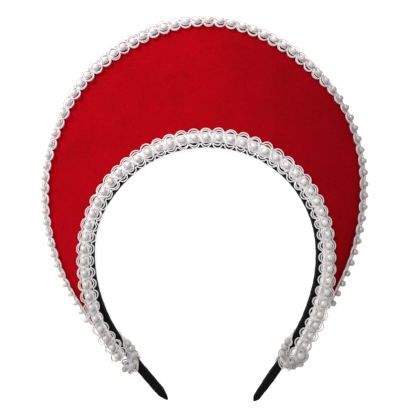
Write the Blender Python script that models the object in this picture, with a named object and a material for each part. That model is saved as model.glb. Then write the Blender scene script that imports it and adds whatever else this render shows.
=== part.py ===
"""A crown headband: a red velvet crescent round a black band, edged with pearl lace.

It lies on its back: +Z faces the viewer, +Y is the top of the crown, and the band's tips point to -Y.
Every size in the tables and constants is in millimetres, and angles are in degrees.
"""
import math

import bpy
from mathutils import Vector

MM = 0.001

# The band's centre line from the left tip to the right tip, its depth from back to front and its thickness.
BAND_ROUTE = (
    # x, y, depth, thickness
    (-20.9, -109.9, 6.5, 4.7),
    (-31.2, -97.8, 7.4, 4.8),
    (-39.8, -87.5, 8.4, 4.6),
    (-55.5, -64.5, 10.2, 3.6),
    (-64.0, -38.0, 12.0, 3.6),
    (-63.0, -10.5, 12.0, 3.6),
    (-49.5, 13.5, 12.0, 3.6),
    (-27.5, 30.5, 12.0, 3.6),
    (-0.5, 37.0, 12.0, 3.6),
    (26.5, 32.5, 12.0, 3.6),
    (49.5, 17.0, 12.0, 3.6),
    (63.5, -7.0, 12.0, 3.6),
    (66.0, -34.0, 12.0, 3.6),
    (59.0, -61.0, 10.2, 3.6),
    (45.8, -85.7, 8.4, 4.3),
    (38.0, -97.4, 7.4, 4.8),
    (28.5, -110.7, 6.5, 3.3),
)
BAND_BEVEL = 0.9
BAND_MIDDLE = 6.0
BAND_STATIONS = 44
TIP_LENGTHS = (8.0, 3.5)
TIP_STEPS = (0.25, 0.55, 0.8, 0.93)

# The panel's outer edge, tail to tail: the centre of its rounded rim, and the tilt of the lace there.
RIM_ROUTE = (
    # x, y, z, tilt
    (-51.0, -80.4, 6.5, 80.0),
    (-57.5, -72.9, 6.1, 80.0),
    (-65.1, -61.5, 5.6, 80.0),
    (-79.2, -36.9, 5.8, 76.0),
    (-87.4, -10.0, 5.6, 72.0),
    (-88.7, 19.0, 5.4, 70.0),
    (-81.7, 46.7, 4.6, 58.0),
    (-68.3, 72.2, 2.8, 38.0),
    (-46.2, 91.6, 2.2, 28.0),
    (-20.4, 103.4, 2.4, 38.0),
    (7.6, 105.9, 3.5, 58.0),
    (35.8, 97.6, 3.1, 48.0),
    (58.9, 81.5, 3.4, 50.0),
    (77.7, 58.4, 4.6, 69.0),
    (87.4, 32.0, 5.3, 73.0),
    (89.0, 3.5, 5.5, 73.0),
    (83.2, -25.0, 5.6, 79.0),
    (71.8, -51.3, 5.2, 79.0),
    (57.7, -76.9, 5.8, 80.0),
)
PANEL_THICKNESS = 3.0
PANEL_PADDING = 0.7
PANEL_PADDED_WIDTH = 18.0
PANEL_GAP = 0.45
TAIL_GAP = 2.4
TAIL_SHARE = 0.25
PANEL_STATIONS = 46
TAIL_FROM_TIP = 41.0

# The inner lace, by distance along the band from its left tip.
SEAM = (
    # along, offset outside the band's centre line, lift above its front, tilt, fold, shares of the halves
    (34.3, 5.7, 3.0, 22.0, 26.0, 1.0, 1.0),
    (41.8, 4.3, 2.3, 20.0, 22.0, 0.95, 1.0),
    (50.8, 4.4, 2.3, 13.0, 12.0, 0.88, 0.95),
    (62.8, 4.2, 2.3, 12.0, 10.0, 0.65, 0.92),
    (73.8, 3.5, 1.8, 12.0, 8.0, 0.85, 0.93),
    (85.8, 3.6, 1.5, 13.0, 10.0, 1.0, 0.78),
    (115.8, 2.7, 1.4, 11.0, 4.0, 1.0, 0.77),
    (139.0, 3.9, 1.4, 9.0, 3.0, 1.0, 0.7),
    (165.8, 3.1, 1.3, 7.0, 2.0, 1.0, 0.84),
    (195.8, 3.5, 1.2, 6.0, 2.0, 1.0, 0.89),
    (225.8, 3.2, 1.2, 7.0, 2.0, 1.0, 0.95),
    (255.8, 4.0, 1.4, 10.0, 4.0, 1.0, 0.82),
    (285.8, 4.4, 1.5, 12.0, 6.0, 1.0, 0.73),
    (300.8, 4.8, 1.6, 14.0, 10.0, 1.0, 0.72),
    (310.8, 5.1, 2.0, 14.0, 12.0, 1.0, 0.78),
    (321.8, 5.6, 2.3, 12.0, 10.0, 1.05, 0.85),
    (333.8, 5.7, 2.3, 13.0, 12.0, 1.0, 0.95),
    (348.3, 5.3, 2.3, 20.0, 22.0, 1.0, 1.0),
    (358.5, 6.1, 3.0, 22.0, 26.0, 1.0, 1.0),
)

# Where the pearls sit, numbered from the left. Each lace starts and ends half a pearl outside them.
SEAM_PEARLS = (
    # pearl, distance along the band
    (-0.5, 35.3),
    (2.0, 49.2),
    (8.0, 86.8),
    (16.0, 139.2),
    (20.0, 164.6),
    (31.0, 236.8),
    (33.0, 250.3),
    (39.0, 287.0),
    (50.5, 358.3),
)
RIM_PEARLS = (
    # pearl, distance along the rim
    (-0.5, 19.8),
    (5.0, 52.3),
    (10.0, 82.8),
    (15.0, 114.2),
    (20.0, 145.5),
    (25.0, 177.2),
    (30.0, 209.2),
    (36.0, 247.4),
    (42.0, 285.9),
    (48.0, 323.5),
    (54.0, 360.5),
    (60.0, 398.7),
    (65.0, 430.8),
    (69.5, 459.0),
)

# The lace ribbon and its pearls. A reach is half the ribbon's width, at a valley and at a peak.
LACE_THICKNESS = 1.2
RIM_REACH = (3.6, 5.1)
SEAM_REACH = (4.6, 5.8)
PEARL_SIDES = 10
PEARL_RINGS = (
    # height above the lace, radius
    (0.0, 1.75),
    (1.1, 2.0),
)
PEARL_SHOULDER = (2.55, 1.25)
PEARL_TOP = 2.95

# The lace wound round the band above each tip, by distance from that tip.
TURN_START = 25.8
TURN_END = 36.5
TURN_STATIONS = 5
TURN_SLANTS = (1.2, 0.6)
TURN_SLANT_REACH = 2.4
TURN_BULGE = 3.1
TURN_PEARLS = (
    # distance from the tip, shift outward, shift up, face of the band
    (28.4, 2.1, 0.0, "front"),
    (28.8, 0.0, 0.5, "outside"),
)

# The strip in which the lace ends: its lean is from facing inward to facing forward.
STRIP = (
    # distance from the tip, lean
    (45.5, 35.0),
    (40.0, 50.0),
    (36.3, 60.0),
    (32.7, 76.0),
    (29.0, 86.0),
)
STRIP_EDGES = (-3.6, 1.7)
STRIP_LIFT = 0.35
STRIP_PEARLS = (1, 2, 3)

GAP = 0.3


def remove_all():
    """Empties the file."""
    for item in list(bpy.data.objects):
        bpy.data.objects.remove(item, do_unlink=True)


def knots_of(rows):
    """The distance of each row along the straight lines between the rows' x and y."""
    knots = [0.0]
    for before, after in zip(rows, rows[1:]):
        knots.append(knots[-1] + math.dist(before[:2], after[:2]))
    return knots


def slopes_of(rows, knots):
    """The slope of each column at each row, from the rows on either side."""
    slopes = []
    last = len(rows) - 1
    for index in range(len(rows)):
        low = max(index - 1, 0)
        high = min(index + 1, last)
        span = knots[high] - knots[low]
        slopes.append([(b - a) / span for a, b in zip(rows[low], rows[high])])
    return slopes


def smooth(rows, knots, place):
    """The columns at a place between the knots, on a smooth curve through the rows."""
    slopes = slopes_of(rows, knots)
    index = 0
    while index < len(knots) - 2 and knots[index + 1] < place:
        index += 1
    span = knots[index + 1] - knots[index]
    t = (place - knots[index]) / span
    start = 2 * t ** 3 - 3 * t ** 2 + 1
    leave = (t ** 3 - 2 * t ** 2 + t) * span
    end = 3 * t ** 2 - 2 * t ** 3
    arrive = (t ** 3 - t ** 2) * span
    columns = zip(rows[index], slopes[index], rows[index + 1], slopes[index + 1])
    return [start * a + leave * da + end * b + arrive * db for a, da, b, db in columns]


BAND_KNOTS = knots_of(BAND_ROUTE)
RIM_KNOTS = knots_of(RIM_ROUTE)
SEAM_KNOTS = [row[0] for row in SEAM]


def outward(rows, knots, place):
    """The level direction square to the route, to the left of the way along it."""
    step = 0.5
    before = smooth(rows, knots, max(place - step, 0.0))
    after = smooth(rows, knots, min(place + step, knots[-1]))
    along = Vector((after[0] - before[0], after[1] - before[1], 0.0)).normalized()
    return Vector((-along.y, along.x, 0.0))


def band_at(place):
    """The band's centre, outward direction, depth and thickness at a distance from the left tip."""
    x, y, depth, thickness = smooth(BAND_ROUTE, BAND_KNOTS, place)
    depth = min(depth, 2 * BAND_MIDDLE)
    return Vector((x, y, BAND_MIDDLE)), outward(BAND_ROUTE, BAND_KNOTS, place), depth, thickness


def rim_at(place):
    """The rim's centre, outward direction and lace tilt at a distance from the left tail."""
    x, y, z, tilt = smooth(RIM_ROUTE, RIM_KNOTS, place)
    return Vector((x, y, z)), outward(RIM_ROUTE, RIM_KNOTS, place), math.radians(tilt)


def spread(start, end, count):
    """Evenly spaced values from start to end."""
    return [start + (end - start) * step / (count - 1) for step in range(count)]


def add_object(name, points, faces):
    """A mesh object from points in millimetres."""
    mesh = bpy.data.meshes.new(name)
    mesh.from_pydata([tuple(point * MM) for point in points], [], faces)
    mesh.validate()
    item = bpy.data.objects.new(name, mesh)
    bpy.context.scene.collection.objects.link(item)
    return item


def loft(name, sections):
    """A closed solid through sections that hold the same number of points, wound alike."""
    size = len(sections[0])
    points = [point for section in sections for point in section]
    faces = [tuple(range(size))]
    for level in range(len(sections) - 1):
        for side in range(size):
            here = level * size + side
            beside = level * size + (side + 1) % size
            faces.append((here, here + size, beside + size))
            faces.append((here, beside + size, beside))
    end = (len(sections) - 1) * size
    faces.append(tuple(range(end + size - 1, end - 1, -1)))
    return add_object(name, points, faces)


def rounded_box(width, height, bevel):
    """A rectangle with cut corners, as (across, up) pairs, clockwise from the lower right."""
    across = width / 2
    up = height / 2
    return (
        (across - bevel, -up),
        (-across + bevel, -up),
        (-across, -up + bevel),
        (-across, up - bevel),
        (-across + bevel, up),
        (across - bevel, up),
        (across, up - bevel),
        (across, -up + bevel),
    )


def band_section(place, scale):
    """The band's outline at a place, scaled down towards the tips."""
    centre, out, depth, thickness = band_at(place)
    outline = rounded_box(thickness * scale, depth * scale, BAND_BEVEL * scale)
    return [centre + out * across + Vector((0.0, 0.0, up)) for across, up in outline]


def make_headband():
    """The black band, rounded off at both tips."""
    length = BAND_KNOTS[-1]
    left, right = TIP_LENGTHS
    steps = [(step / len(TIP_STEPS), scale) for step, scale in enumerate(TIP_STEPS)]
    stations = [(left * step, scale) for step, scale in steps]
    for place in spread(left, length - right, BAND_STATIONS):
        stations.append((place, 1.0))
    stations.extend((length - right * step, scale) for step, scale in reversed(steps))
    return loft("headband", [band_section(place, scale) for place, scale in stations])


def panel_section(step):
    """The panel's outline from the band to the rim at a share of its length."""
    length = BAND_KNOTS[-1]
    centre, out, depth, thickness = band_at(TAIL_FROM_TIP + (length - 2 * TAIL_FROM_TIP) * step)
    rim, rim_out, _ = rim_at(RIM_KNOTS[-1] * step)
    half = Vector((0.0, 0.0, PANEL_THICKNESS / 2))
    tail = max(0.0, 1.0 - min(step, 1.0 - step) / TAIL_SHARE)
    inner = centre + out * (thickness / 2 + PANEL_GAP + (TAIL_GAP - PANEL_GAP) * tail)
    inner.z = BAND_MIDDLE + depth / 2 - PANEL_THICKNESS / 2 - GAP
    width = (rim - inner).length
    pad = Vector((0.0, 0.0, PANEL_PADDING * min(max(width / PANEL_PADDED_WIDTH - 0.5, 0.0), 1.0)))
    return [
        inner - half,
        inner + half,
        inner.lerp(rim, 0.35) + half + pad,
        inner.lerp(rim, 0.7) + half + pad,
        rim + half,
        rim + rim_out * (PANEL_THICKNESS / 2),
        rim - half,
    ]


def make_panel():
    """The red crescent between the band and the rim."""
    steps = spread(0.0, 1.0, PANEL_STATIONS)
    return loft("crown_panel", [panel_section(step) for step in steps])


class LaceStation:
    """One cross line of the lace: its middle, its two edges and the direction its pearls face."""

    def __init__(self, middle, out, along, tilt, fold, half_widths):
        up = Vector((0.0, 0.0, 1.0))
        half = LACE_THICKNESS / 2
        self.along = along
        self.facing = out * math.sin(tilt) + up * math.cos(tilt)
        self.across = out * math.cos(tilt) - up * math.sin(tilt)
        self.top = middle + self.facing * half
        self.bottom = middle - self.facing * half
        self.edges = []
        for side, half_width in zip((-1, 1), half_widths):
            lean = tilt + side * fold / 2
            reach = out * math.cos(lean) - up * math.sin(lean)
            face = out * math.sin(lean) + up * math.cos(lean)
            edge = middle + reach * (side * half_width)
            self.edges.append((edge + face * half, edge - face * half))


def rim_station(place, half_width):
    """The outer lace at a distance along the rim, lying against the rounded edge."""
    centre, out, tilt = rim_at(place)
    facing = out * math.sin(tilt) + Vector((0.0, 0.0, math.cos(tilt)))
    reach = PANEL_THICKNESS / 2 + GAP + LACE_THICKNESS / 2
    along = Vector((out.y, -out.x, 0.0))
    return LaceStation(centre + facing * reach, out, along, tilt, 0.0, (half_width, half_width))


def seam_station(place, half_width):
    """The inner lace at a distance along the band, over the seam with the panel."""
    _, offset, lift, tilt, fold, inner, outer = smooth(SEAM, SEAM_KNOTS, place)
    centre, out, depth, _ = band_at(place)
    middle = centre + out * offset + Vector((0.0, 0.0, depth / 2 + lift))
    along = Vector((out.y, -out.x, 0.0))
    half_widths = (half_width * inner, half_width * outer)
    return LaceStation(middle, out, along, math.radians(tilt), math.radians(fold), half_widths)


def bridge(outer, inner):
    """Triangles between two rings of (angle, index) pairs, both anticlockwise from their first."""
    turn = 360.0
    faces = []
    here = 0
    there = 0
    while here < len(outer) or there < len(inner):
        next_outer = outer[(here + 1) % len(outer)][0] + turn * ((here + 1) // len(outer))
        next_inner = inner[(there + 1) % len(inner)][0] + turn * ((there + 1) // len(inner))
        outer_now = outer[here % len(outer)][1]
        inner_now = inner[there % len(inner)][1]
        if there >= len(inner) or (here < len(outer) and next_outer <= next_inner):
            here += 1
            faces.append((outer_now, outer[here % len(outer)][1], inner_now))
        else:
            there += 1
            faces.append((outer_now, inner[there % len(inner)][1], inner_now))
    return faces


def add_pearl(points, faces, station):
    """One pearl standing on the lace, and the (angle, index) pairs of the ring at its foot."""
    rings = []
    for height, radius in PEARL_RINGS:
        ring = []
        for side in range(PEARL_SIDES):
            angle = math.tau * side / PEARL_SIDES
            turn = station.along * math.cos(angle) + station.across * math.sin(angle)
            ring.append(len(points))
            points.append(station.top + station.facing * height + turn * radius)
        rings.append(ring)
    foot, equator = rings
    shoulder = []
    height, radius = PEARL_SHOULDER
    for side in range(0, PEARL_SIDES, 2):
        angle = math.tau * side / PEARL_SIDES
        turn = station.along * math.cos(angle) + station.across * math.sin(angle)
        shoulder.append(len(points))
        points.append(station.top + station.facing * height + turn * radius)
    tip = len(points)
    points.append(station.top + station.facing * PEARL_TOP)
    for side in range(PEARL_SIDES):
        beside = (side + 1) % PEARL_SIDES
        faces.append((foot[side], foot[beside], equator[beside], equator[side]))
    for side in range(PEARL_SIDES // 2):
        first = equator[2 * side]
        middle = equator[2 * side + 1]
        last = equator[(2 * side + 2) % PEARL_SIDES]
        beside = (side + 1) % len(shoulder)
        faces.append((first, middle, shoulder[side]))
        faces.append((middle, shoulder[beside], shoulder[side]))
        faces.append((middle, last, shoulder[beside]))
        faces.append((shoulder[side], shoulder[beside], tip))
    return [(360.0 * side / PEARL_SIDES, foot[side]) for side in range(PEARL_SIDES)]


def add_cross_line(points, station, middles):
    """The points of one cross line: top and bottom of each edge, and of the middle if wanted."""
    line = {}
    for name, (top, bottom) in zip(("in", "out"), station.edges):
        line[name] = len(points)
        line[name + " below"] = len(points) + 1
        points.extend((top, bottom))
    if middles:
        line["mid"] = len(points)
        line["mid below"] = len(points) + 1
        points.extend((station.top, station.bottom))
    return line


def add_cell(points, faces, before, peak, after, station):
    """One scallop of the lace with its pearl, between two valleys."""
    foot = add_pearl(points, faces, station)
    ring = [
        (0.0, after["mid"]),
        (50.0, after["out"]),
        (90.0, peak["out"]),
        (130.0, before["out"]),
        (180.0, before["mid"]),
        (230.0, before["in"]),
        (270.0, peak["in"]),
        (310.0, after["in"]),
    ]
    faces.extend(bridge(ring, foot))
    for side in ("out", "in"):
        below = side + " below"
        walls = [
            (before[side], peak[side], peak[below], before[below]),
            (peak[side], after[side], after[below], peak[below]),
        ]
        under = [
            (before["mid below"], before[below], peak[below]),
            (before["mid below"], peak[below], after["mid below"]),
            (peak[below], after[below], after["mid below"]),
        ]
        for face in walls + under:
            faces.append(face if side == "out" else tuple(reversed(face)))


def make_lace(name, station_at, pearls, reach):
    """A scalloped ribbon of lace with a pearl on every scallop."""
    knots = [row[0] for row in pearls]
    count = round(knots[-1] - knots[0])
    valley_reach, peak_reach = reach
    points = []
    faces = []
    valleys = []
    for step in range(count + 1):
        station = station_at(smooth(pearls, knots, knots[0] + step)[1], valley_reach)
        valleys.append(add_cross_line(points, station, True))
    for step in range(count):
        station = station_at(smooth(pearls, knots, step)[1], peak_reach)
        peak = add_cross_line(points, station, False)
        add_cell(points, faces, valleys[step], peak, valleys[step + 1], station)
    order = ("in", "mid", "out", "out below", "mid below", "in below")
    faces.append(tuple(valleys[0][key] for key in order))
    faces.append(tuple(valleys[-1][key] for key in reversed(order)))
    return add_object(name, points, faces)


def fuse(item, others):
    """Joins other solids into one closed body and removes them."""
    for other in others:
        modifier = item.modifiers.new("Fuse", "BOOLEAN")
        modifier.operation = "UNION"
        modifier.solver = "EXACT"
        modifier.object = other
    bpy.context.view_layer.update()
    depsgraph = bpy.context.evaluated_depsgraph_get()
    mesh = bpy.data.meshes.new_from_object(item.evaluated_get(depsgraph))
    item.modifiers.clear()
    item.data = mesh
    for other in others:
        bpy.data.objects.remove(other, do_unlink=True)


def sleeve_section(place, slide, wall, bulge):
    """The outline of the wound lace, a wall away from the band's own and thicker on the outside."""
    centre, out, depth, thickness = band_at(place)
    clear = GAP + wall
    outline = rounded_box(thickness + 2 * clear, depth + 2 * clear, BAND_BEVEL + clear / 2)
    along = Vector((out.y, -out.x, 0.0))
    section = []
    for across, up in outline:
        reach = across + bulge if across > 0.0 else across
        shift = slide * min(max(reach, -TURN_SLANT_REACH), TURN_SLANT_REACH)
        section.append(centre + out * reach + along * shift + Vector((0.0, 0.0, up)))
    return section


def make_sleeve(name, places):
    """The closed turn of lace round the band, from places and the slide along it per step outward."""
    size = 8
    points = []
    for place, slide in places:
        points.extend(sleeve_section(place, slide, LACE_THICKNESS, TURN_BULGE))
        points.extend(sleeve_section(place, slide, 0.0, 0.0))
    faces = []
    last = len(places) - 1
    for side in range(size):
        beside = (side + 1) % size
        for level in range(last):
            base = level * 2 * size
            above = base + 2 * size
            faces.append((base + side, above + side, above + beside, base + beside))
            inner = base + size
            up = above + size
            faces.append((inner + beside, up + beside, up + side, inner + side))
        faces.append((beside, size + beside, size + side, side))
        end = last * 2 * size
        faces.append((end + side, end + size + side, end + size + beside, end + beside))
    return add_object(name, points, faces)


def strip_at(place, lean):
    """The strip's underside, the direction it faces and the direction across it, at the band's corner."""
    centre, out, depth, thickness = band_at(place)
    angle = math.radians(lean)
    up = Vector((0.0, 0.0, 1.0))
    corner = centre - out * (thickness / 2 - BAND_BEVEL) + up * (depth / 2 - BAND_BEVEL)
    facing = up * math.sin(angle) - out * math.cos(angle)
    across = up * math.cos(angle) + out * math.sin(angle)
    return corner + facing * (BAND_BEVEL + GAP + STRIP_LIFT), facing, across


def make_strip(from_tip):
    """The end of the lace, which twists from the turn down to the band's inner side."""
    sections = []
    for distance, lean in STRIP:
        under, facing, across = strip_at(from_tip(distance), lean)
        low, high = STRIP_EDGES
        corners = ((0.0, high), (LACE_THICKNESS, high), (LACE_THICKNESS, low), (0.0, low))
        sections.append([under + facing * height + across * reach for height, reach in corners])
    if from_tip(STRIP[0][0]) > from_tip(STRIP[-1][0]):
        sections.reverse()
    return loft("strip", sections)


def make_bead(centre, facing, along):
    """A loose pearl, its foot sunk into the lace."""
    across = facing.cross(along)
    sections = []
    for height, radius in ((-0.6, 1.5),) + PEARL_RINGS + (PEARL_SHOULDER,):
        ring = []
        for side in range(PEARL_SIDES):
            angle = -math.tau * side / PEARL_SIDES
            turn = along * math.cos(angle) + across * math.sin(angle)
            ring.append(centre + facing * height + turn * radius)
        sections.append(ring)
    return loft("bead", sections)


def turn_bead(place, aside, height, face):
    """A pearl on one face of the turn."""
    centre, out, depth, thickness = band_at(place)
    up = Vector((0.0, 0.0, 1.0))
    clear = GAP + LACE_THICKNESS
    if face == "front":
        facing = up
        reach = depth / 2 + clear
    else:
        facing = out
        reach = thickness / 2 + clear + TURN_BULGE
    along = Vector((out.y, -out.x, 0.0))
    return make_bead(centre + facing * reach + out * aside + up * height, facing, along)


def strip_bead(place, lean):
    """A pearl on the strip."""
    under, facing, across = strip_at(place, lean)
    return make_bead(under + facing * LACE_THICKNESS, facing, across)


def make_wrap(name, from_tip, slant):
    """The end of the lace round the band, with its strip and pearls, at one tip."""
    turn = []
    for distance in spread(TURN_START, TURN_END, TURN_STATIONS):
        slide = slant * (TURN_END - distance) / (TURN_END - TURN_START)
        turn.append((from_tip(distance), slide * (from_tip(0.0) - from_tip(1.0))))
    item = make_sleeve(name, sorted(turn))
    parts = [make_strip(from_tip)]
    for distance, aside, height, face in TURN_PEARLS:
        parts.append(turn_bead(from_tip(distance), aside, height, face))
    for row in STRIP_PEARLS:
        distance, lean = STRIP[row]
        parts.append(strip_bead(from_tip(distance), lean))
    fuse(item, parts)
    return item


def paint(item, color, roughness):
    """Gives an object a plain material of its own."""
    material = bpy.data.materials.new(item.name)
    material.use_nodes = True
    shader = material.node_tree.nodes["Principled BSDF"]
    shader.inputs["Base Color"].default_value = (*color, 1.0)
    shader.inputs["Roughness"].default_value = roughness
    item.data.materials.clear()
    item.data.materials.append(material)


def settle(items):
    """Moves everything so that the box round it stands on the origin."""
    corners = [vertex.co for item in items for vertex in item.data.vertices]
    middle_x = (min(c.x for c in corners) + max(c.x for c in corners)) / 2
    middle_y = (min(c.y for c in corners) + max(c.y for c in corners)) / 2
    low = min(c.z for c in corners)
    shift = Vector((middle_x, middle_y, low))
    for item in items:
        for vertex in item.data.vertices:
            vertex.co -= shift


def main():
    """Builds every piece."""
    remove_all()
    length = BAND_KNOTS[-1]
    headband = make_headband()
    panel = make_panel()
    outer = make_lace("outer_trim", rim_station, RIM_PEARLS, RIM_REACH)
    inner = make_lace("inner_trim", seam_station, SEAM_PEARLS, SEAM_REACH)
    left = make_wrap("end_wrap_left", lambda place: place, TURN_SLANTS[0])
    right = make_wrap("end_wrap_right", lambda place: length - place, TURN_SLANTS[1])
    paint(headband, (0.012, 0.012, 0.014), 0.75)
    paint(panel, (0.42, 0.0, 0.012), 0.85)
    for lace in (outer, inner, left, right):
        paint(lace, (0.8, 0.78, 0.76), 0.5)
    settle([headband, panel, outer, inner, left, right])


main()
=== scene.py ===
"""The looks of a crown headband: a velvet crescent, a ribbon-wound band, and cord lace with pearls.

The tables and sizes are in millimetres, in the same frame as part.py's tables.
TABLE_SHIFT moves them to the row frame, whose origin is under the middle of the box round the part.
"""

import math
import random
from collections import namedtuple

import bpy
import numpy as np
from mathutils import Matrix, Vector


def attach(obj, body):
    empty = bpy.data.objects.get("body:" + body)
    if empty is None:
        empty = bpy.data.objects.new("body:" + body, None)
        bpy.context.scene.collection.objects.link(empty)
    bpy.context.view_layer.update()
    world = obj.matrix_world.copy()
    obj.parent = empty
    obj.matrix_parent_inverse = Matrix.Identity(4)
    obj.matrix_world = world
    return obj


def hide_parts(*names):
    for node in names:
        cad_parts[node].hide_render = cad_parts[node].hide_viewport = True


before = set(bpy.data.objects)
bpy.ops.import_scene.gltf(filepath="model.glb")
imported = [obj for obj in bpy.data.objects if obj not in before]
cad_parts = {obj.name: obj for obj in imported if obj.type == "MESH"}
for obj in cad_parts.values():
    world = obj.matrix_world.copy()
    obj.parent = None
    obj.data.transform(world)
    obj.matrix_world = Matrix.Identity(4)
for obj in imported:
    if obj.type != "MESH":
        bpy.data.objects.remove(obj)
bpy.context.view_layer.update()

MM = 0.001
TABLE_SHIFT = (-0.11, -0.337, 0.0)

# The band's centre line from the left tip to the right tip, its depth from back to front and its thickness.
BAND_ROUTE = (
    # x, y, depth, thickness
    (-20.9, -109.9, 6.5, 4.7),
    (-31.2, -97.8, 7.4, 4.8),
    (-39.8, -87.5, 8.4, 4.6),
    (-55.5, -64.5, 10.2, 3.6),
    (-64.0, -38.0, 12.0, 3.6),
    (-63.0, -10.5, 12.0, 3.6),
    (-49.5, 13.5, 12.0, 3.6),
    (-27.5, 30.5, 12.0, 3.6),
    (-0.5, 37.0, 12.0, 3.6),
    (26.5, 32.5, 12.0, 3.6),
    (49.5, 17.0, 12.0, 3.6),
    (63.5, -7.0, 12.0, 3.6),
    (66.0, -34.0, 12.0, 3.6),
    (59.0, -61.0, 10.2, 3.6),
    (45.8, -85.7, 8.4, 4.3),
    (38.0, -97.4, 7.4, 4.8),
    (28.5, -110.7, 6.5, 3.3),
)
BAND_BEVEL = 0.9
BAND_MIDDLE = 6.0

# The band's points along its left tip, its middle and its right tip, and round its rounded section.
BAND_STEPS = (24, 560, 15)
BAND_SIDES = 28
BAND_ROUNDNESS = (0.5, 0.32)

# The tips narrow to a share of the band's section over these lengths, left and right.
TIP_LENGTHS = (8.0, 3.5)
TIP_SCALE = 0.15
TIP_ROUNDNESS = 0.8

# The ribbon's turns: their length along the band, the step from one to the next and its steepness.
RIBBON_PITCH = 6.5
RIBBON_STEP = 0.14
RIBBON_OVERLAP = 1.15
FLOOR_CLEARANCE = 0.02

# The panel's outer edge, tail to tail: the centre of its rounded rim, and the lace's tilt and fold there.
RIM_ROUTE = (
    # x, y, z, tilt, fold
    (-51.0, -80.4, 6.5, 80.0, 5.0),
    (-57.5, -72.9, 6.1, 80.0, 5.0),
    (-65.1, -61.5, 5.6, 80.0, 6.0),
    (-79.2, -36.9, 5.8, 70.0, 7.0),
    (-87.4, -10.0, 5.6, 65.0, 9.0),
    (-88.7, 19.0, 5.4, 63.0, 10.0),
    (-81.7, 46.7, 4.6, 58.0, 10.0),
    (-68.3, 72.2, 2.8, 38.0, 0.0),
    (-46.2, 91.6, 2.2, 28.0, 0.0),
    (-20.4, 103.4, 2.4, 38.0, 5.0),
    (7.6, 105.9, 3.5, 58.0, 22.0),
    (35.8, 97.6, 3.1, 48.0, 16.0),
    (58.9, 81.5, 3.4, 50.0, 16.0),
    (77.7, 58.4, 4.6, 69.0, 10.0),
    (87.4, 32.0, 5.3, 66.0, 6.0),
    (89.0, 3.5, 5.5, 66.0, 6.0),
    (83.2, -25.0, 5.6, 72.0, 3.0),
    (71.8, -51.3, 5.2, 79.0, 6.0),
    (57.7, -76.9, 5.8, 80.0, 5.0),
)
PANEL_THICKNESS = 3.0
PANEL_PADDING = 0.7
PANEL_PADDED_WIDTH = 18.0
PANEL_CROWN = 0.7

# The panel's points: along it, across its front and back, and round its rim.
PANEL_STEPS = 320
PANEL_FRONT_STEPS = 32
PANEL_BACK_STEPS = 8
PANEL_RIM_ANGLES = (60.0, 30.0, 0.0, -30.0, -60.0)

# The panel's inner edge stands this far off the band over the arch, and farther within a share of its length
# from the tails. The tails end this far from the band's tips.
PANEL_GAP = 0.45
TAIL_GAP = 2.4
TAIL_SHARE = 0.25
TAIL_FROM_TIP = 41.0

# The inner lace, by distance along the band from its left tip.
SEAM = (
    # along, offset outside the band's centre line, lift above its front, tilt, fold, shares of the halves
    (34.3, 5.7, 3.0, 22.0, 26.0, 1.0, 1.0),
    (41.8, 4.3, 2.3, 20.0, 22.0, 0.95, 1.0),
    (50.8, 4.4, 2.3, 13.0, 12.0, 0.88, 0.95),
    (62.8, 4.2, 2.3, 12.0, 10.0, 0.65, 0.92),
    (73.8, 3.5, 1.8, 12.0, 8.0, 0.85, 0.93),
    (85.8, 3.6, 1.5, 13.0, 10.0, 1.0, 0.78),
    (115.8, 2.7, 1.4, 11.0, 4.0, 1.0, 0.77),
    (139.0, 3.9, 1.4, 9.0, 3.0, 1.0, 0.7),
    (165.8, 3.1, 1.3, 7.0, 2.0, 1.0, 0.84),
    (195.8, 3.5, 1.2, 6.0, 2.0, 1.0, 0.89),
    (225.8, 3.2, 1.2, 7.0, 2.0, 1.0, 0.95),
    (255.8, 4.0, 1.4, 10.0, 4.0, 1.0, 0.82),
    (285.8, 4.4, 1.5, 12.0, 6.0, 1.0, 0.73),
    (300.8, 4.8, 1.6, 14.0, 10.0, 1.0, 0.72),
    (310.8, 5.1, 2.0, 14.0, 12.0, 1.0, 0.78),
    (321.8, 5.6, 2.3, 12.0, 10.0, 1.05, 0.85),
    (333.8, 5.7, 2.3, 13.0, 12.0, 1.0, 0.95),
    (348.3, 5.3, 2.3, 20.0, 22.0, 1.0, 1.0),
    (358.5, 6.1, 3.0, 22.0, 26.0, 1.0, 1.0),
)

# Where the pearls sit, numbered from the left. Each lace starts and ends half a pearl outside them.
SEAM_PEARLS = (
    # pearl, distance along the band
    (-0.5, 35.3),
    (2.0, 49.2),
    (8.0, 86.8),
    (16.0, 139.2),
    (20.0, 164.6),
    (31.0, 236.8),
    (33.0, 250.3),
    (39.0, 287.0),
    (50.5, 358.3),
)
RIM_PEARLS = (
    # pearl, distance along the rim
    (-0.5, 19.8),
    (5.0, 52.3),
    (10.0, 82.8),
    (15.0, 114.2),
    (20.0, 145.5),
    (25.0, 177.2),
    (30.0, 209.2),
    (36.0, 247.4),
    (42.0, 285.9),
    (48.0, 323.5),
    (54.0, 360.5),
    (60.0, 398.7),
    (65.0, 430.8),
    (69.5, 459.0),
)

# The lace's cords and ground. A reach is the distance of a cord's middle from the lace's centre line.
GAP = 0.3
LACE_THICKNESS = 1.2
CORD_RADIUS = 0.32
CORD_SIDES = 6
CORD_LIFT = 0.12
WEAVE_HEIGHT = 0.22
GROUND_THICKNESS = 0.3
GROUND_DEPTH = 0.4
PEARL_RADIUS = 1.85
PEARL_RINGS = 10
PEARL_SIDES = 18

# Half the angle that a pearl's hole takes, in radians.
PEARL_HOLE = 0.04

# A pearl rises with this power of how far the lace stands on edge, and stands out by a share of its rise.
EDGE_POWER = 4
PEARL_OUT = 0.3

# How far a cord's dent reaches beside a pearl, in pearl lengths.
DENT_WIDTH = 0.13

# Points in a pearl's length: of the edge's wide and small loops, of a crossing cord and of the ground.
WIDE_LOOP_POINTS = 12
SMALL_LOOP_POINTS = 6
CROSSING_POINTS = 14
GROUND_POINTS = 10

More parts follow.
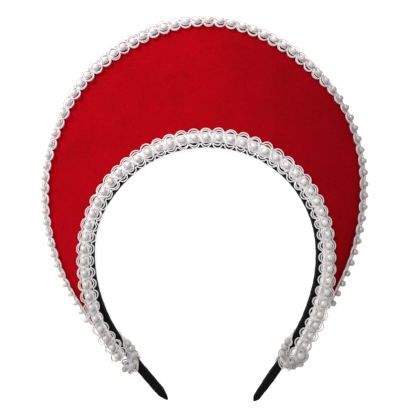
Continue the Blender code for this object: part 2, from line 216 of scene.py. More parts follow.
# Hand-made irregularity: the range of a scallop's and of a swing's reach, and how far a pearl strays across.
SCALLOP_RANGE = (0.88, 1.08)
SWING_RANGE = (0.92, 1.08)
PEARL_STRAY = 0.15

# Texture places a millimetre along the cords and pearls, the ground, and the velvet and ribbon.
CORD_TEXTURE = 1.0
NET_TEXTURE = 0.5
CLOTH_TEXTURE = 0.1

# The reach of the edge's valleys and peaks, the height of its small loops, and the share of a pearl's length
# that its wide loop takes. Then the reach of the ground at the pearls and between them, the pearls' height
# above the lace, and their rise where it stands on edge. Two numbers are for the inner and the outer half.
Style = namedtuple("Style", "valleys peaks bump share ground waist pearl rise crossings")
FLAT_STYLE = Style(
    valleys=(3.4, 3.4), peaks=(5.9, 5.9), bump=0.5, share=0.8,
    ground=(2.4, 3.3), waist=(2.6, 3.2), pearl=1.3, rise=0.0,
    crossings=(
        # reach, roundness, dent over the pearl, shift at the crossing
        (4.50, 0.45, 0.0, 0.07),
        (3.25, 0.60, 0.50, 0.0),
        (2.20, 0.90, 0.0, -0.07),
        (1.20, 1.00, 0.0, 0.0),
    ),
)
WOUND_STYLE = FLAT_STYLE._replace(ground=(1.3, 1.3), waist=(2.0, 2.0))
ROLLED_STYLE = Style(
    valleys=(1.0, 4.0), peaks=(4.5, 5.6), bump=0.0, share=0.92,
    ground=(1.6, 5.0), waist=(1.2, 3.8), pearl=0.9, rise=1.5,
    crossings=(
        (3.70, 0.50, 0.0, 0.07),
        (1.70, 0.90, 0.0, -0.07),
        (1.00, 1.00, 0.0, 0.0),
    ),
)

# The lace wound round the band above each tip. The slants, left and right, are how far its edge toward the
# tip shifts that way for each millimetre outward. It narrows by a share for each millimetre that it bulges.
TURN_MIDDLE = 30.4
TURN_WIDTH = 0.82
TURN_CELLS = 5
TURN_POINTS = 241
TURN_BULGE = 3.1
TURN_CORNER = 2.4
TURN_CORNER_STEPS = 8
TURN_HALF = 4.8
TURN_SLANTS = (1.2, 0.6)
TURN_SLANT_REACH = 2.4
TURN_NARROWING = 0.12
TURN_STEP = 0.4
TURN_PEARLS = (
    # distance from the tip, shift outward, shift up, face of the band
    (28.4, 2.1, 0.0, "front"),
    (28.8, 0.0, 0.5, "outside"),
)

# The strip in which the lace ends: its lean is from facing inward to facing forward.
STRIP = (
    # distance from the tip, lean
    (45.5, 35.0),
    (40.0, 50.0),
    (36.3, 60.0),
    (32.7, 76.0),
    (29.0, 86.0),
)
STRIP_LIFT = 0.35
STRIP_WIDTH = 0.46
STRIP_SHIFT = -0.6
STRIP_CELLS = 4

# It tapers to this share of its width, between these places in pearl lengths.
STRIP_TAPER = 0.1
TAPER_ENDS = (0.1, 0.8)

# The loose loop in which the inner lace turns under at the right tip, and the pearl on it.
LOOP_ROUTE = (
    # x, y, z
    (56.5, -81.5, 12.0),
    (57.6, -85.0, 10.0),
    (55.3, -88.0, 8.5),
    (50.8, -89.4, 7.5),
)
LOOP_WIDTH = 0.62
LOOP_TILT = 50.0
LOOP_CELLS = 2
LOOP_PEARL = 0.8

# The order of random draws is part of the lace's looks.

rng = random.Random(7)


class Route:
    """A smooth curve through the rows of a table."""

    def __init__(self, rows, knots=None):
        self.rows = np.array(rows, float)
        if knots is None:
            steps = np.linalg.norm(np.diff(self.rows[:, :2], axis=0), axis=1)
            knots = np.concatenate(([0.0], np.cumsum(steps)))
        self.knots = np.array(knots, float)
        self.length = self.knots[-1]
        last = len(self.rows) - 1
        low = np.maximum(np.arange(last + 1) - 1, 0)
        high = np.minimum(np.arange(last + 1) + 1, last)
        spans = self.knots[high] - self.knots[low]
        self.slopes = (self.rows[high] - self.rows[low]) / spans[:, None]

    def at(self, places):
        """The table's columns at places along the route."""
        places = np.atleast_1d(places)
        index = np.clip(np.searchsorted(self.knots, places) - 1, 0, len(self.knots) - 2)
        span = (self.knots[index + 1] - self.knots[index])[:, None]
        t = (places[:, None] - self.knots[index][:, None]) / span
        start = 2 * t ** 3 - 3 * t ** 2 + 1
        leave = (t ** 3 - 2 * t ** 2 + t) * span
        end = 3 * t ** 2 - 2 * t ** 3
        arrive = (t ** 3 - t ** 2) * span
        rows, slopes = self.rows, self.slopes
        before = start * rows[index] + leave * slopes[index]
        return before + end * rows[index + 1] + arrive * slopes[index + 1]

    def outward(self, places):
        """The level directions square to the route, to the left of the way along it."""
        step = 0.5
        before = self.at(np.clip(places - step, 0.0, self.length))
        after = self.at(np.clip(places + step, 0.0, self.length))
        way = after[:, :2] - before[:, :2]
        way /= np.linalg.norm(way, axis=1)[:, None]
        return np.column_stack((-way[:, 1], way[:, 0], np.zeros(len(way))))


BAND = Route(BAND_ROUTE)
RIM = Route(RIM_ROUTE)
SEAM_LINE = Route(SEAM, [row[0] for row in SEAM])
STRIP_LINE = Route(STRIP, range(len(STRIP)))
LOOP_LINE = Route(LOOP_ROUTE)
UP = np.array((0.0, 0.0, 1.0))


def band_at(places):
    """The band's centre, outward direction, depth and thickness at distances from the left tip."""
    rows = BAND.at(places)
    centre = np.column_stack((rows[:, :2], np.full(len(rows), BAND_MIDDLE)))
    return centre, BAND.outward(places), np.minimum(rows[:, 2], 2 * BAND_MIDDLE), rows[:, 3]


def along_pearls(rows):
    """Turns pearl numbers into distances along a lace, from a table of a few of them."""
    route = Route(rows, [row[0] for row in rows])
    return lambda numbers: route.at(numbers)[:, 1]


class Lace:
    """A length of lace: where a point of it lies, by pearl number, reach across and height above it."""

    def __init__(self, station, cells, style, width=1.0, taper=1.0):
        """The width is a share of the style's, and the taper is the share of it that is left at the start."""
        self.station = station
        self.cells = cells
        self.style = style
        self.width = width
        self.taper = taper

    def place(self, numbers, reach, height):
        """Points of the lace, and the direction that it faces there."""
        middle, out, up, tilt, fold, inner, outer = self.station(numbers)
        # The lace folds along its centre line, within about a millimetre of it.
        lean = tilt + fold / 2 * np.tanh(reach)
        face = out * np.sin(lean)[:, None] + up * np.cos(lean)[:, None]
        across = out * np.cos(lean)[:, None] - up * np.sin(lean)[:, None]
        width = self.width * np.interp(numbers, TAPER_ENDS, (self.taper, 1.0))
        width = width * np.where(reach > 0.0, outer, inner)
        points = middle + across * (reach * width)[:, None] + face * height[:, None]
        # No cord sinks into the floor.
        points[:, 2] = np.maximum(points[:, 2], CORD_RADIUS)
        return points, face


def rim_station(numbers):
    """The outer lace against the panel's rounded rim."""
    places = along_pearls(RIM_PEARLS)(numbers)
    rows = RIM.at(places)
    out = RIM.outward(places)
    tilt, fold = np.radians(rows[:, 3:5]).T
    facing = out * np.sin(tilt)[:, None] + UP * np.cos(tilt)[:, None]
    reach = PANEL_THICKNESS / 2 + GAP + LACE_THICKNESS / 2
    up = np.tile(UP, (len(rows), 1))
    return rows[:, :3] + facing * reach, out, up, tilt - fold / 2, fold, 1.0, 1.0


def seam_station(numbers):
    """The inner lace over the seam of the band and the panel."""
    places = along_pearls(SEAM_PEARLS)(numbers)
    rows = SEAM_LINE.at(places)
    centre, out, depth, _ = band_at(places)
    middle = centre + out * rows[:, 1:2] + UP * (depth / 2 + rows[:, 2])[:, None]
    tilt, fold = np.radians(rows[:, 3:5]).T
    return middle, out, np.tile(UP, (len(rows), 1)), tilt, fold, rows[:, 5], rows[:, 6]


def strip_station(tip):
    """The lace end that twists down to the band's inner side, at one tip."""
    def station(numbers):
        rows = STRIP_LINE.at(numbers)
        centre, out, depth, thickness = band_at(tip.along(rows[:, 0]))
        lean = np.radians(rows[:, 1])[:, None]
        facing = UP * np.sin(lean) - out * np.cos(lean)
        across = UP * np.cos(lean) + out * np.sin(lean)
        corner = centre - out * (thickness / 2 - BAND_BEVEL)[:, None] + UP * (depth / 2 - BAND_BEVEL)[:, None]
        lift = BAND_BEVEL + GAP + STRIP_LIFT + LACE_THICKNESS / 2
        flat = np.zeros(len(rows))
        return corner + facing * lift + across * STRIP_SHIFT, across, facing, flat, flat, 1.0, 1.0
    return station


def turn_outline():
    """Points round the turn of lace, from the front's middle outwards, and their distances."""
    _, _, depth, thickness = band_at(np.array([TURN_MIDDLE]))
    clear = GAP + LACE_THICKNESS / 2
    inner = float(thickness[0]) / 2 + clear
    outer = inner + TURN_BULGE
    up = float(depth[0]) / 2 + clear
    corners = (
        # across, up, first angle
        (outer - TURN_CORNER, up - TURN_CORNER, 90.0),
        (outer - TURN_CORNER, -up + TURN_CORNER, 0.0),
        (-inner + TURN_CORNER, -up + TURN_CORNER, -90.0),
        (-inner + TURN_CORNER, up - TURN_CORNER, -180.0),
    )
    points = [(0.0, up)]
    for across, height, first in corners:
        for step in range(TURN_CORNER_STEPS + 1):
            angle = math.radians(first - 90.0 * step / TURN_CORNER_STEPS)
            points.append((across + TURN_CORNER * math.cos(angle), height + TURN_CORNER * math.sin(angle)))
    points.append((0.0, up))
    points = np.array(points)
    steps = np.linalg.norm(np.diff(points, axis=0), axis=1)
    knots = np.concatenate(([0.0], np.cumsum(steps)))
    even = np.linspace(0.0, knots[-1], TURN_POINTS)
    ring = np.column_stack([np.interp(even, knots, points[:, axis]) for axis in (0, 1)])
    return ring, even


TURN_RING, TURN_PLACES = turn_outline()
TURN_LENGTH = TURN_PLACES[-1]


def turn_point(places):
    """The place across and above the band's centre, at distances round the turn."""
    around = np.mod(places, TURN_LENGTH)
    return np.column_stack([np.interp(around, TURN_PLACES, TURN_RING[:, axis]) for axis in (0, 1)])


def turn_station(tip):
    """The turn of lace round the band, at one tip."""
    def station(numbers):
        places = numbers * TURN_LENGTH / TURN_CELLS
        spot = turn_point(places)
        way = turn_point(places + TURN_STEP) - turn_point(places - TURN_STEP)
        way /= np.linalg.norm(way, axis=1)[:, None]
        centre, out, _, _ = band_at(np.full(len(places), tip.along(TURN_MIDDLE)))
        middle = centre + out * spot[:, :1] + UP * spot[:, 1:]
        facing = UP * way[:, :1] - out * way[:, 1:]
        tipward = np.column_stack((-out[:, 1], out[:, 0], np.zeros(len(out)))) * tip.way
        # Two thirds of the slant move the turn, and one third widens its half toward the tip.
        shift = tip.slant * np.clip(spot[:, 0], -TURN_SLANT_REACH, TURN_SLANT_REACH)
        middle += tipward * (shift * 2 / 3)[:, None]
        bulge = np.maximum(spot[:, 0] - TURN_SLANT_REACH, 0.0)
        share = 1.0 + shift / 3 / TURN_HALF - TURN_NARROWING * bulge
        flat = np.zeros(len(out))
        return middle, tipward, facing, flat, flat, 1.0, share
    return station


def loop_station(numbers):
    """The loose loop at the right tip."""
    places = (numbers + 0.5) / LOOP_CELLS * LOOP_LINE.length
    tilt = np.full(len(places), math.radians(LOOP_TILT))
    up = np.tile(UP, (len(places), 1))
    return LOOP_LINE.at(places), LOOP_LINE.outward(places), up, tilt, 0.0 * tilt, 1.0, 1.0


class Tip:
    """One tip of the band: its place and the way from it along the band, and the slant of the lace's turn."""

    def __init__(self, place, way, slant):
        self.place = place
        self.way = way
        self.slant = slant

    def along(self, distance):
        """A distance from this tip as a distance along the band."""
        return self.place + self.way * distance


class Builder:
    """Gathers points, quads and their texture places, and makes one mesh object of them."""

    def __init__(self):
        self.points = []
        self.faces = []
        self.uvs = []
        self.count = 0

    def grid(self, points, texture):
        """Adds rows of points along a form that closes round, with so many texture places a millimetre."""
        rows, columns = points.shape[:2]
        index = np.arange(rows * columns).reshape(rows, columns) + self.count
        beside = np.roll(index, -1, axis=1)
        quads = np.stack((index[:-1], beside[:-1], beside[1:], index[1:]), axis=-1)
        steps = np.linalg.norm(np.diff(points[:, 0], axis=0), axis=1)
        along = np.concatenate(([0.0], np.cumsum(steps))) * texture
        left, low = np.meshgrid(np.arange(columns) / columns, along[:-1])
        right, high = np.meshgrid(np.arange(1, columns + 1) / columns, along[1:])
        corners = ((low, left), (low, right), (high, right), (high, left))
        uvs = np.stack([np.stack(corner, axis=-1) for corner in corners], axis=2)
        self.points.append(points.reshape(-1, 3))
        self.faces.append(quads.reshape(-1, 4))
        self.uvs.append(uvs.reshape(-1, 2))
        self.count += rows * columns

    def tube(self, line, face):
        """Adds a round cord along a line of points, with the direction it faces at each."""
        way = np.gradient(line, axis=0)
        way /= np.linalg.norm(way, axis=1)[:, None]
        side = np.cross(way, face)
        side /= np.linalg.norm(side, axis=1)[:, None]
        top = np.cross(side, way)
        angles = np.arange(CORD_SIDES) * math.tau / CORD_SIDES
        ring = side[:, None] * np.cos(angles)[None, :, None] + top[:, None] * np.sin(angles)[None, :, None]
        self.grid(line[:, None] + ring * CORD_RADIUS, CORD_TEXTURE)

    def ball(self, centre, pole):
        """Adds a round pearl whose hole lies along its pole."""
        pole = pole / np.linalg.norm(pole)
        side = np.cross(pole, UP if abs(pole[2]) < 0.9 else np.array((1.0, 0.0, 0.0)))
        side /= np.linalg.norm(side)
        top = np.cross(pole, side)
        lift = np.linspace(PEARL_HOLE, math.pi - PEARL_HOLE, PEARL_RINGS + 1)
        turn = np.arange(PEARL_SIDES) * math.tau / PEARL_SIDES
        wide = np.sin(lift)[:, None, None]
        flat = side * np.cos(turn)[None, :, None] + top * np.sin(turn)[None, :, None]
        points = centre + PEARL_RADIUS * (flat * wide + pole * -np.cos(lift)[:, None, None])
        self.grid(points, CORD_TEXTURE)

    def make(self, name):
        """The mesh object, in the row frame, smooth all over."""
        points = (np.concatenate(self.points) + np.array(TABLE_SHIFT)) * MM
        faces = np.concatenate(self.faces)
        mesh = bpy.data.meshes.new(name)
        mesh.from_pydata(points.tolist(), [], faces.tolist())
        layer = mesh.uv_layers.new(name="cord")
        layer.data.foreach_set("uv", np.concatenate(self.uvs).astype(np.float32).ravel())
        mesh.polygons.foreach_set("use_smooth", np.ones(len(faces), bool))
        mesh.update()
        item = bpy.data.objects.new(name, mesh)
        bpy.context.scene.collection.objects.link(item)
        return item


def edge_line(lace, side):
    """The scalloped cord along one edge: a wide loop at each pearl, and a small one between two."""
    style = lace.style
    valley = style.valleys[side > 0]
    half = style.share / 2
    numbers = []
    reach = []
    for cell in range(lace.cells):
        rise = (style.peaks[side > 0] - valley) * rng.uniform(*SCALLOP_RANGE)
        for angle in np.linspace(math.pi, 0.0, WIDE_LOOP_POINTS):
            numbers.append(cell + half * math.cos(angle))
            reach.append(valley + rise * math.sin(angle))
        for angle in np.linspace(math.pi, 0.0, SMALL_LOOP_POINTS)[1:-1]:
            if cell < lace.cells - 1:
                numbers.append(cell + 0.5 + (0.5 - half) * math.cos(angle))
                reach.append(valley + style.bump * math.sin(angle))
    return np.array(numbers), np.array(reach) * side


def crossing_line(lace, side, reach, roundness, dent, shift):
    """A cord that swings round one side of each pearl and crosses the middle between pearls."""
    x = np.linspace(-0.5, lace.cells - 0.5, lace.cells * CROSSING_POINTS + 1)
    swing = np.cos(math.pi * x)
    slack = np.array([rng.uniform(*SWING_RANGE) for _ in range(lace.cells)])
    across = np.sign(swing) * np.abs(swing) ** roundness * reach
    across -= np.sign(swing) * dent * np.exp(-((x - np.round(x)) / DENT_WIDTH) ** 2)
    across *= slack[np.clip(np.round(x).astype(int), 0, lace.cells - 1)]
    numbers = x + side * shift * np.sin(math.pi * x) ** 2
    height = CORD_LIFT + WEAVE_HEIGHT * side * np.sin(math.pi * x)
    return numbers, across * side, height


def add_ground(builder, lace):
    """The dense woven middle of the lace, under its cords."""
    x = np.linspace(-0.5, lace.cells - 0.5, lace.cells * GROUND_POINTS + 1)
    between = np.sin(math.pi * x) ** 2
    wide = np.outer(lace.style.ground, 1.0 - between) + np.outer(lace.style.waist, between)
    across = (-1.0, -0.5, 0.0, 0.5, 1.0)
    section = [(reach, -1) for reach in across] + [(reach, 1) for reach in reversed(across)]
    columns = []
    for reach, side in section:
        height = np.full(len(x), side * GROUND_THICKNESS / 2 - GROUND_DEPTH)
        columns.append(lace.place(x, wide[int(reach > 0.0)] * reach, height)[0])
    builder.grid(np.stack(columns, axis=1), NET_TEXTURE)


def add_cords(builder, lace):
    """The cords of a length of lace, the same on both sides of its centre line."""
    for side in (-1, 1):
        numbers, reach = edge_line(lace, side)
        line, face = lace.place(numbers, reach, np.full(len(numbers), CORD_LIFT))
        builder.tube(line, face)
        for crossing in lace.style.crossings:
            line, face = lace.place(*crossing_line(lace, side, *crossing))
            builder.tube(line, face)


def add_pearl(builder, lace, number):
    """A pearl near the lace's centre line, set higher where the lace stands on edge."""
    step = 0.1
    spots = np.array([number - step, number, number + step])
    stray = np.full(3, rng.uniform(-PEARL_STRAY, PEARL_STRAY))
    points, face = lace.place(spots, stray, np.full(3, lace.style.pearl))
    edgewise = math.hypot(*face[1][:2]) ** EDGE_POWER
    rise = (UP + PEARL_OUT * face[1]) * lace.style.rise * edgewise
    builder.ball(points[1] + rise, points[2] - points[0])


def add_turn_pearl(builder, tip, distance, aside, height, face):
    """A pearl on one face of the turn."""
    centre, out, depth, thickness = (item[0] for item in band_at(np.array([tip.along(distance)])))
    clear = GAP + LACE_THICKNESS / 2 + WOUND_STYLE.pearl
    if face == "front":
        facing = UP * (depth / 2 + clear)
    else:
        facing = out * (thickness / 2 + clear + TURN_BULGE)
    builder.ball(centre + facing + out * aside + UP * height, np.cross(out, UP))


def make_pieces(name, node, laces, add_pearls):
    """The cords, ground and pearls that stand for one node."""
    cords = Builder()
    ground = Builder()
    pearls = Builder()
    for lace in laces:
        add_cords(cords, lace)
        add_ground(ground, lace)
    add_pearls(pearls)
    lace_item = cords.make(name + "_lace")
    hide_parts(node)
    return lace_item, ground.make(name + "_ground"), pearls.make(name + "_pearls")


def make_trim(name, node, station, count, style):
    """One lace with a pearl in every cell."""
    lace = Lace(station, count, style)

    def add_pearls(builder):
        for number in range(count):
            add_pearl(builder, lace, number)
    return make_pieces(name, node, [lace], add_pearls)


def make_wrap(name, node, tip, loops=()):
    """The wound lace end at one tip."""
    turn = Lace(turn_station(tip), TURN_CELLS, WOUND_STYLE, TURN_WIDTH)
    strip = Lace(strip_station(tip), STRIP_CELLS, WOUND_STYLE, STRIP_WIDTH, STRIP_TAPER)

    def add_pearls(builder):
        for row in TURN_PEARLS:
            add_turn_pearl(builder, tip, *row)
        for number in range(1, STRIP_CELLS):
            add_pearl(builder, strip, number)
        for loop in loops:
            add_pearl(builder, loop, LOOP_PEARL)
    return make_pieces(name, node, [turn, strip, *loops], add_pearls)


def make_panel():
    """The velvet crescent, softly padded."""
    steps = np.linspace(0.0, 1.0, PANEL_STEPS + 1)
    centre, out, depth, thickness = band_at(TAIL_FROM_TIP + (BAND.length - 2 * TAIL_FROM_TIP) * steps)
    rim = RIM.at(RIM.length * steps)[:, :3]
    rim_out = RIM.outward(RIM.length * steps)
    half = PANEL_THICKNESS / 2
    tail = np.maximum(0.0, 1.0 - np.minimum(steps, 1.0 - steps) / TAIL_SHARE)
    inner = centre + out * (thickness / 2 + PANEL_GAP + (TAIL_GAP - PANEL_GAP) * tail)[:, None]
    inner[:, 2] = BAND_MIDDLE + depth / 2 - half - GAP
    # The padding begins where the panel is half as wide as the padded width, and is full at one and a half.
    width = np.linalg.norm(rim - inner, axis=1)
    pad = PANEL_PADDING * np.clip(width / PANEL_PADDED_WIDTH - 0.5, 0.0, 1.0)
    columns = []
    for share in np.linspace(0.0, 1.0, PANEL_FRONT_STEPS + 1):
        lift = half + pad * (1.0 - (2.0 * share - 1.0) ** 2) ** PANEL_CROWN
        columns.append(inner + (rim - inner) * share + UP * lift[:, None])
    for angle in np.radians(PANEL_RIM_ANGLES):
        columns.append(rim + (rim_out * math.cos(angle) + UP * math.sin(angle)) * half)
    for share in np.linspace(1.0, 0.0, PANEL_BACK_STEPS + 1):
        columns.append(inner + (rim - inner) * share - UP * half)
    builder = Builder()
    builder.grid(np.stack(columns, axis=1)[::-1], CLOTH_TEXTURE)
    item = builder.make("velvet_panel")
    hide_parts("crown_panel")
    return item


def make_band():
    """The band under its wound ribbon."""
    left, right = TIP_LENGTHS
    left_steps, middle_steps, right_steps = BAND_STEPS
    left_tip = np.linspace(0.0, left, left_steps + 1)[:-1]
    middle = np.linspace(left, BAND.length - right, middle_steps + 1)
    right_tip = BAND.length - np.linspace(right, 0.0, right_steps + 1)[1:]
    places = np.concatenate((left_tip, middle, right_tip))
    centre, out, depth, thickness = band_at(places)
    share = np.minimum(places / left, (BAND.length - places) / right)
    rounded = np.sin(np.clip(share, 0.0, 1.0) * math.pi / 2) ** TIP_ROUNDNESS
    scale = TIP_SCALE + (1.0 - TIP_SCALE) * rounded
    columns = []
    for side in range(BAND_SIDES):
        angle = math.tau * side / BAND_SIDES
        across = math.copysign(abs(math.cos(angle)) ** BAND_ROUNDNESS[0], math.cos(angle))
        up = math.copysign(abs(math.sin(angle)) ** BAND_ROUNDNESS[1], math.sin(angle))
        wound = np.mod(places / RIBBON_PITCH + side / BAND_SIDES, 1.0)
        ridge = RIBBON_STEP * (np.clip(wound * RIBBON_OVERLAP, 0.0, 1.0) - 0.5)
        wide = (thickness / 2 + ridge) * scale
        tall = (depth / 2 + ridge / 2) * scale
        points = centre + out * (wide * across)[:, None] + UP * (tall * up)[:, None]
        points[:, 2] = np.maximum(points[:, 2], FLOOR_CLEARANCE)
        columns.append(points)
    builder = Builder()
    builder.grid(np.stack(columns, axis=1), CLOTH_TEXTURE)
    item = builder.make("ribbon_band")
    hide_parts("headband")
    return item


class Shader:
    """A material's nodes, with short calls to add and link them."""

    def __init__(self, name, roughness):
        self.material = bpy.data.materials.new(name)
        self.material.use_nodes = True
        self.tree = self.material.node_tree
        self.surface = self.tree.nodes["Principled BSDF"]
        self.set("Roughness", roughness)

    def set(self, name, value):
        """Sets an input of the surface."""
        self.surface.inputs[name].default_value = value

    def node(self, kind, **settings):
        """A new node with its settings and unlinked inputs."""
        item = self.tree.nodes.new(kind)
        for key, value in settings.items():
            if hasattr(item, key):
                setattr(item, key, value)
            else:
                item.inputs[key.replace("_", " ").title()].default_value = value
        return item

    def link(self, source, output, target, name):
        """Joins an output to an input."""
        self.tree.links.new(source.outputs[output], target.inputs[name])

    def noise(self, scale, detail=2.0, roughness=0.5):
        """Noise over the object's own coordinates."""
        place = self.node("ShaderNodeTexCoord")
        noise = self.node("ShaderNodeTexNoise", scale=scale, detail=detail, roughness=roughness)
        self.link(place, "Object", noise, "Vector")
        return noise

    def wave(self, scale, distortion):
        """Slanting ridges over the texture places of a cord, ribbon or net."""
        place = self.node("ShaderNodeUVMap", uv_map="cord")
        wave = self.node(
            "ShaderNodeTexWave", bands_direction="DIAGONAL", scale=scale, distortion=distortion,
        )
        self.link(place, "UV", wave, "Vector")
        return wave

    def colors(self, source, output, stops):
        """A colour ramp from (position, colour) stops."""
        ramp = self.node("ShaderNodeValToRGB")
        elements = ramp.color_ramp.elements
        while len(elements) < len(stops):
            elements.new(0.5)
        for element, (position, color) in zip(elements, stops):
            element.position = position
            element.color = (*color, 1.0)
        self.link(source, output, ramp, "Fac")
        return ramp

    def along(self, axis, rows):
        """Colours along an axis of the object, from rows of metres, red, green and blue."""
        place = self.node("ShaderNodeTexCoord")
        split = self.node("ShaderNodeSeparateXYZ")
        self.link(place, "Object", split, "Vector")
        low, high = rows[0][0], rows[-1][0]
        span = self.node("ShaderNodeMapRange", from_min=low, from_max=high)
        self.link(split, axis, span, "Value")
        return self.colors(span, "Result", [((x - low) / (high - low), color) for x, *color in rows])

    def multiply(self, first, second):
        """The product of two colours."""
        product = self.node("ShaderNodeMixRGB", blend_type="MULTIPLY", fac=1.0)
        self.link(first, "Color", product, "Color1")
        self.link(second, "Color", product, "Color2")
        return product

    def paint(self, color):
        """Paints the surface."""
        self.link(color, "Color", self.surface, "Base Color")

    def bump(self, source, strength, distance, below=None):
        """A bump, on top of another if there is one."""
        bump = self.node("ShaderNodeBump", strength=strength, distance=distance)
        self.link(source, "Fac", bump, "Height")
        if below is not None:
            self.link(below, "Normal", bump, "Normal")
        return bump

    def emboss(self, bump):
        """Gives the surface a bump."""
        self.link(bump, "Normal", self.surface, "Normal")


# Painted shade: factors that the laces' and pearls' colours are multiplied by, along an axis of the object
# in metres. They darken the lace and pearls where these lie in shade.
# Painted shade on the outer lace: a faint pink tint all along, and darker toward the right.
OUTER_LACE_TINT_AND_SHADE = ("X", (
    # place, red, green, blue
    (-0.09, 0.95, 0.92, 0.93),
    (-0.05, 0.97, 0.92, 0.94),
    (0.05, 0.97, 0.92, 0.93),
    (0.09, 0.81, 0.76, 0.77),
))
# Painted shade on the outer pearls: a little darker at the left, much darker toward the right.
OUTER_PEARL_SHADE = ("X", (
    (-0.09, 0.88, 0.88, 0.87),
    (-0.05, 1.00, 1.00, 0.99),
    (0.04, 1.00, 0.97, 0.95),
    (0.08, 0.48, 0.44, 0.42),
))
# Painted shade on the inner and wound lace and the inner pearls: darker lower down the arms.
INNER_LACE_SHADE = ("Y", (
    (-0.09, 0.65, 0.64, 0.63),
    (-0.045, 0.80, 0.79, 0.78),
    (-0.01, 0.90, 0.89, 0.89),
    (0.04, 1.00, 1.00, 1.00),
))
# Painted shade on the wound ends' pearls: darker all over, a little more at the right.
WOUND_PEARL_SHADE = ("X", (
    (-0.06, 0.56, 0.53, 0.51),
    (0.06, 0.54, 0.51, 0.49),
))

# Painted shade: the velvet is darker toward the right, where the panel turns away from the key light.
VELVET_SHADE = ("X", (
    (-0.09, 0.96, 0.96, 0.96),
    (0.00, 1.00, 1.00, 1.00),
    (0.05, 0.71, 0.71, 0.71),
    (0.09, 0.58, 0.58, 0.58),
))

# The colours between which a material's noise goes, each with the height of the noise.
VELVET_COLORS = (
    (0.3, (0.38, 0.0, 0.004)),
    (0.7, (0.445, 0.0, 0.007)),
)
FLECK_COLORS = (
    (0.35, (0.80, 0.80, 0.80)),
    (0.5, (1.0, 1.0, 1.0)),
)
RIBBON_COLORS = (
    (0.35, (0.002, 0.002, 0.0025)),
    (0.7, (0.011, 0.011, 0.012)),
)
PEARL_COLORS = (
    (0.35, (0.73, 0.70, 0.66)),
    (0.7, (0.88, 0.86, 0.82)),
)
FLOOR_COLORS = (
    (0.3, (0.54, 0.54, 0.54)),
    (0.7, (0.56, 0.56, 0.56)),
)
FLOOR_GLOW = 0.78
FLOOR_REACH = 6.0

# The room's brightness to the sides and overhead, and the key light in metres and watts.
ROOM_LIGHT = 0.05
CEILING_LIGHT = 1.0
KEY_PLACE = (-0.60, 0.70, 0.75)
KEY_SIZE = 0.55
KEY_WATTS = 9.6

# The camera stands over the photo's middle, which is this far from the tables' origin, in millimetres.
CAMERA_ASIDE = (2.3, 0.29)
CAMERA_HEIGHT = 600.0
CAMERA_LENS = 89.4
CAMERA_SENSOR = 36.0
CAMERA_CLIP = 0.01


def velvet():
    """Deep red velvet with a soft, blotchy pile."""
    shader = Shader("velvet", 0.9)
    blotches = shader.noise(70.0, detail=4.0, roughness=0.55)
    # Painted shade: the red is multiplied by the velvet's shade table, darker toward the right.
    shaded_red = shader.multiply(shader.colors(blotches, "Fac", VELVET_COLORS), shader.along(*VELVET_SHADE))
    flecks = shader.noise(800.0, detail=3.0, roughness=0.6)
    shader.paint(shader.multiply(shaded_red, shader.colors(flecks, "Fac", FLECK_COLORS)))
    pile = shader.noise(2600.0, detail=3.0, roughness=0.6)
    folds = shader.noise(160.0, detail=3.0, roughness=0.5)
    soft = shader.bump(folds, strength=0.15, distance=0.0005)
    shader.emboss(shader.bump(pile, strength=0.5, distance=0.0002, below=soft))
    shader.set("Specular IOR Level", 0.05)
    shader.set("Sheen Weight", 0.12)
    shader.set("Sheen Roughness", 0.4)
    shader.set("Sheen Tint", (1.0, 0.05, 0.08, 1.0))
    return shader.material


def ribbon():
    """Black grosgrain ribbon."""
    shader = Shader("black_ribbon", 0.9)
    specks = shader.noise(1500.0, detail=3.0, roughness=0.6)
    shader.paint(shader.colors(specks, "Fac", RIBBON_COLORS))
    weave = shader.bump(shader.wave(4.0, distortion=0.6), strength=0.4, distance=0.0002)
    shader.emboss(shader.bump(specks, strength=0.4, distance=0.0002, below=weave))
    shader.set("Specular IOR Level", 0.03)
    return shader.material


def cord(name, tone, shade_table):
    """Twisted rayon cord, from a faintly pink tone to a lighter white."""
    shader = Shader(name, 0.5)
    patches = shader.noise(350.0)
    dark = (tone, tone * 0.95, tone * 0.98)
    light = (tone + 0.1,) * 3
    ramp = shader.colors(patches, "Fac", ((0.3, dark), (0.7, light)))
    # Painted shade: the cord's colour is multiplied by a shade table along the object.
    shader.paint(shader.multiply(ramp, shader.along(*shade_table)))
    shader.emboss(shader.bump(shader.wave(1.0, distortion=0.0), strength=0.6, distance=0.00012))
    shader.set("Sheen Weight", 0.2)
    return shader.material


def ground(name, tone, hole_shade_tone, shade_table):
    """The thread net between the cords, with darker holes of painted shade."""
    shader = Shader(name, 0.8)
    threads = shader.wave(3.0, distortion=1.5)
    holes = shader.noise(1300.0, detail=3.0, roughness=0.6)
    light = (tone, tone * 0.965, tone)
    dark = (hole_shade_tone, hole_shade_tone * 0.88, hole_shade_tone)
    # Painted shade: dark patches where the gaps between threads lie in shade, and a shade table along the
    # object.
    ramp = shader.colors(holes, "Fac", ((0.38, dark), (0.54, light)))
    shader.paint(shader.multiply(ramp, shader.along(*shade_table)))
    shader.emboss(shader.bump(threads, strength=0.5, distance=0.0001))
    return shader.material


def pearl(name, shade_table):
    """Cream pearl with a soft lustre."""
    shader = Shader(name, 0.28)
    ramp = shader.colors(shader.noise(600.0), "Fac", PEARL_COLORS)
    # Painted shade: the pearl's colour is multiplied by a shade table along the object.
    shader.paint(shader.multiply(ramp, shader.along(*shade_table)))
    shader.emboss(shader.bump(shader.noise(900.0), strength=0.08, distance=0.0002))
    shader.set("Coat Weight", 1.0)
    shader.set("Coat Roughness", 0.08)
    return shader.material


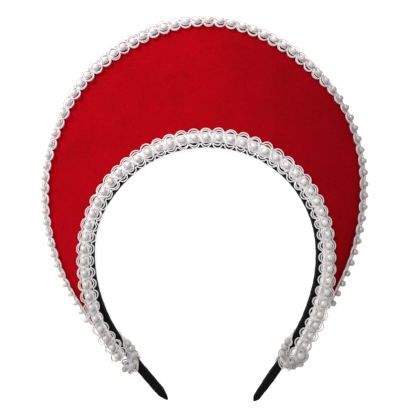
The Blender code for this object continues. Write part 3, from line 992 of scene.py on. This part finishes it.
def floor_paint():
    """Pale, plain paper."""
    shader = Shader("pale_floor", 0.9)
    shader.set("Specular IOR Level", 0.0)
    shader.paint(shader.colors(shader.noise(3.0), "Fac", FLOOR_COLORS))
    shader.set("Emission Color", (1.0, 1.0, 1.0, 1.0))
    shader.set("Emission Strength", FLOOR_GLOW)
    return shader.material


def dress(item, material):
    """Gives a piece its material, slot and body."""
    item.data.materials.append(material)
    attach(item, "root")


def add_floor():
    """A wide pale floor."""
    low, high = -FLOOR_REACH, FLOOR_REACH
    corners = [(low, low, 0.0), (high, low, 0.0), (high, high, 0.0), (low, high, 0.0)]
    mesh = bpy.data.meshes.new("floor")
    mesh.from_pydata(corners, [], [(0, 1, 2, 3)])
    item = bpy.data.objects.new("floor", mesh)
    bpy.context.scene.collection.objects.link(item)
    mesh.materials.append(floor_paint())


def add_light(name, place, size, watts):
    """A square soft light that looks at the object."""
    light = bpy.data.lights.new(name, "AREA")
    light.size = size
    light.energy = watts
    item = bpy.data.objects.new(name, light)
    item.location = place
    item.rotation_euler = (-Vector(place)).to_track_quat("-Z", "Y").to_euler()
    bpy.context.scene.collection.objects.link(item)


def add_world():
    """White light from a wide soft ceiling over a darker room."""
    world = bpy.data.worlds.new("studio")
    world.use_nodes = True
    tree = world.node_tree
    place = tree.nodes.new("ShaderNodeTexCoord")
    split = tree.nodes.new("ShaderNodeSeparateXYZ")
    tree.links.new(place.outputs["Generated"], split.inputs["Vector"])
    rise = tree.nodes.new("ShaderNodeMapRange")
    rise.inputs["To Min"].default_value = ROOM_LIGHT
    rise.inputs["To Max"].default_value = CEILING_LIGHT
    tree.links.new(split.outputs["Z"], rise.inputs["Value"])
    tree.links.new(rise.outputs["Result"], tree.nodes["Background"].inputs["Strength"])
    tree.nodes["Background"].inputs["Color"].default_value = (1.0, 1.0, 1.0, 1.0)
    bpy.context.scene.world = world


def add_camera():
    """The photo's view, straight down."""
    camera = bpy.data.cameras.new("camera")
    camera.lens = CAMERA_LENS
    camera.sensor_width = CAMERA_SENSOR
    camera.clip_start = CAMERA_CLIP
    item = bpy.data.objects.new("camera", camera)
    place = Vector((*CAMERA_ASIDE, CAMERA_HEIGHT)) + Vector(TABLE_SHIFT)
    item.matrix_world = Matrix.Translation(place * MM)
    bpy.context.scene.collection.objects.link(item)
    bpy.context.scene.camera = item


def main():
    """Builds the object and its stage."""
    rim_count = round(RIM_PEARLS[-1][0] - RIM_PEARLS[0][0])
    seam_count = round(SEAM_PEARLS[-1][0] - SEAM_PEARLS[0][0])
    left_slant, right_slant = TURN_SLANTS
    left_tip = Tip(0.0, 1, left_slant)
    right_tip = Tip(BAND.length, -1, right_slant)
    loop = Lace(loop_station, LOOP_CELLS, WOUND_STYLE, LOOP_WIDTH)
    trims = (
        ("outer_trim", make_trim("outer", "outer_trim", rim_station, rim_count, ROLLED_STYLE)),
        ("inner_trim", make_trim("inner", "inner_trim", seam_station, seam_count, FLAT_STYLE)),
        ("end_wrap_left", make_wrap("left", "end_wrap_left", left_tip)),
        ("end_wrap_right", make_wrap("right", "end_wrap_right", right_tip, [loop])),
    )
    # Painted shade: the outer lace's cord and net are darker shaded copies of the inner lace's, and the wound
    # ends' pearls a darker shaded copy of the inner pearls.
    white_cord = cord("white_cord", 0.84, INNER_LACE_SHADE)
    white_net = ground("thread_net", 0.97, 0.4, INNER_LACE_SHADE)
    wound_paints = (white_cord, white_net, pearl("shaded_wound_pearl", WOUND_PEARL_SHADE))
    paints = {
        "outer_trim": (
            cord("shaded_outer_cord", 0.72, OUTER_LACE_TINT_AND_SHADE),
            ground("shaded_outer_net", 0.66, 0.44, OUTER_LACE_TINT_AND_SHADE),
            pearl("shaded_outer_pearl", OUTER_PEARL_SHADE),
        ),
        "inner_trim": (white_cord, white_net, pearl("pearl", INNER_LACE_SHADE)),
        "end_wrap_left": wound_paints,
        "end_wrap_right": wound_paints,
    }
    for slot, pieces in trims:
        for piece, paint in zip(pieces, paints[slot]):
            dress(piece, paint)
    dress(make_panel(), velvet())
    dress(make_band(), ribbon())
    add_floor()
    add_world()
    add_light("key", KEY_PLACE, KEY_SIZE, KEY_WATTS)
    add_camera()
    bpy.context.scene.view_settings.view_transform = "Standard"


main()
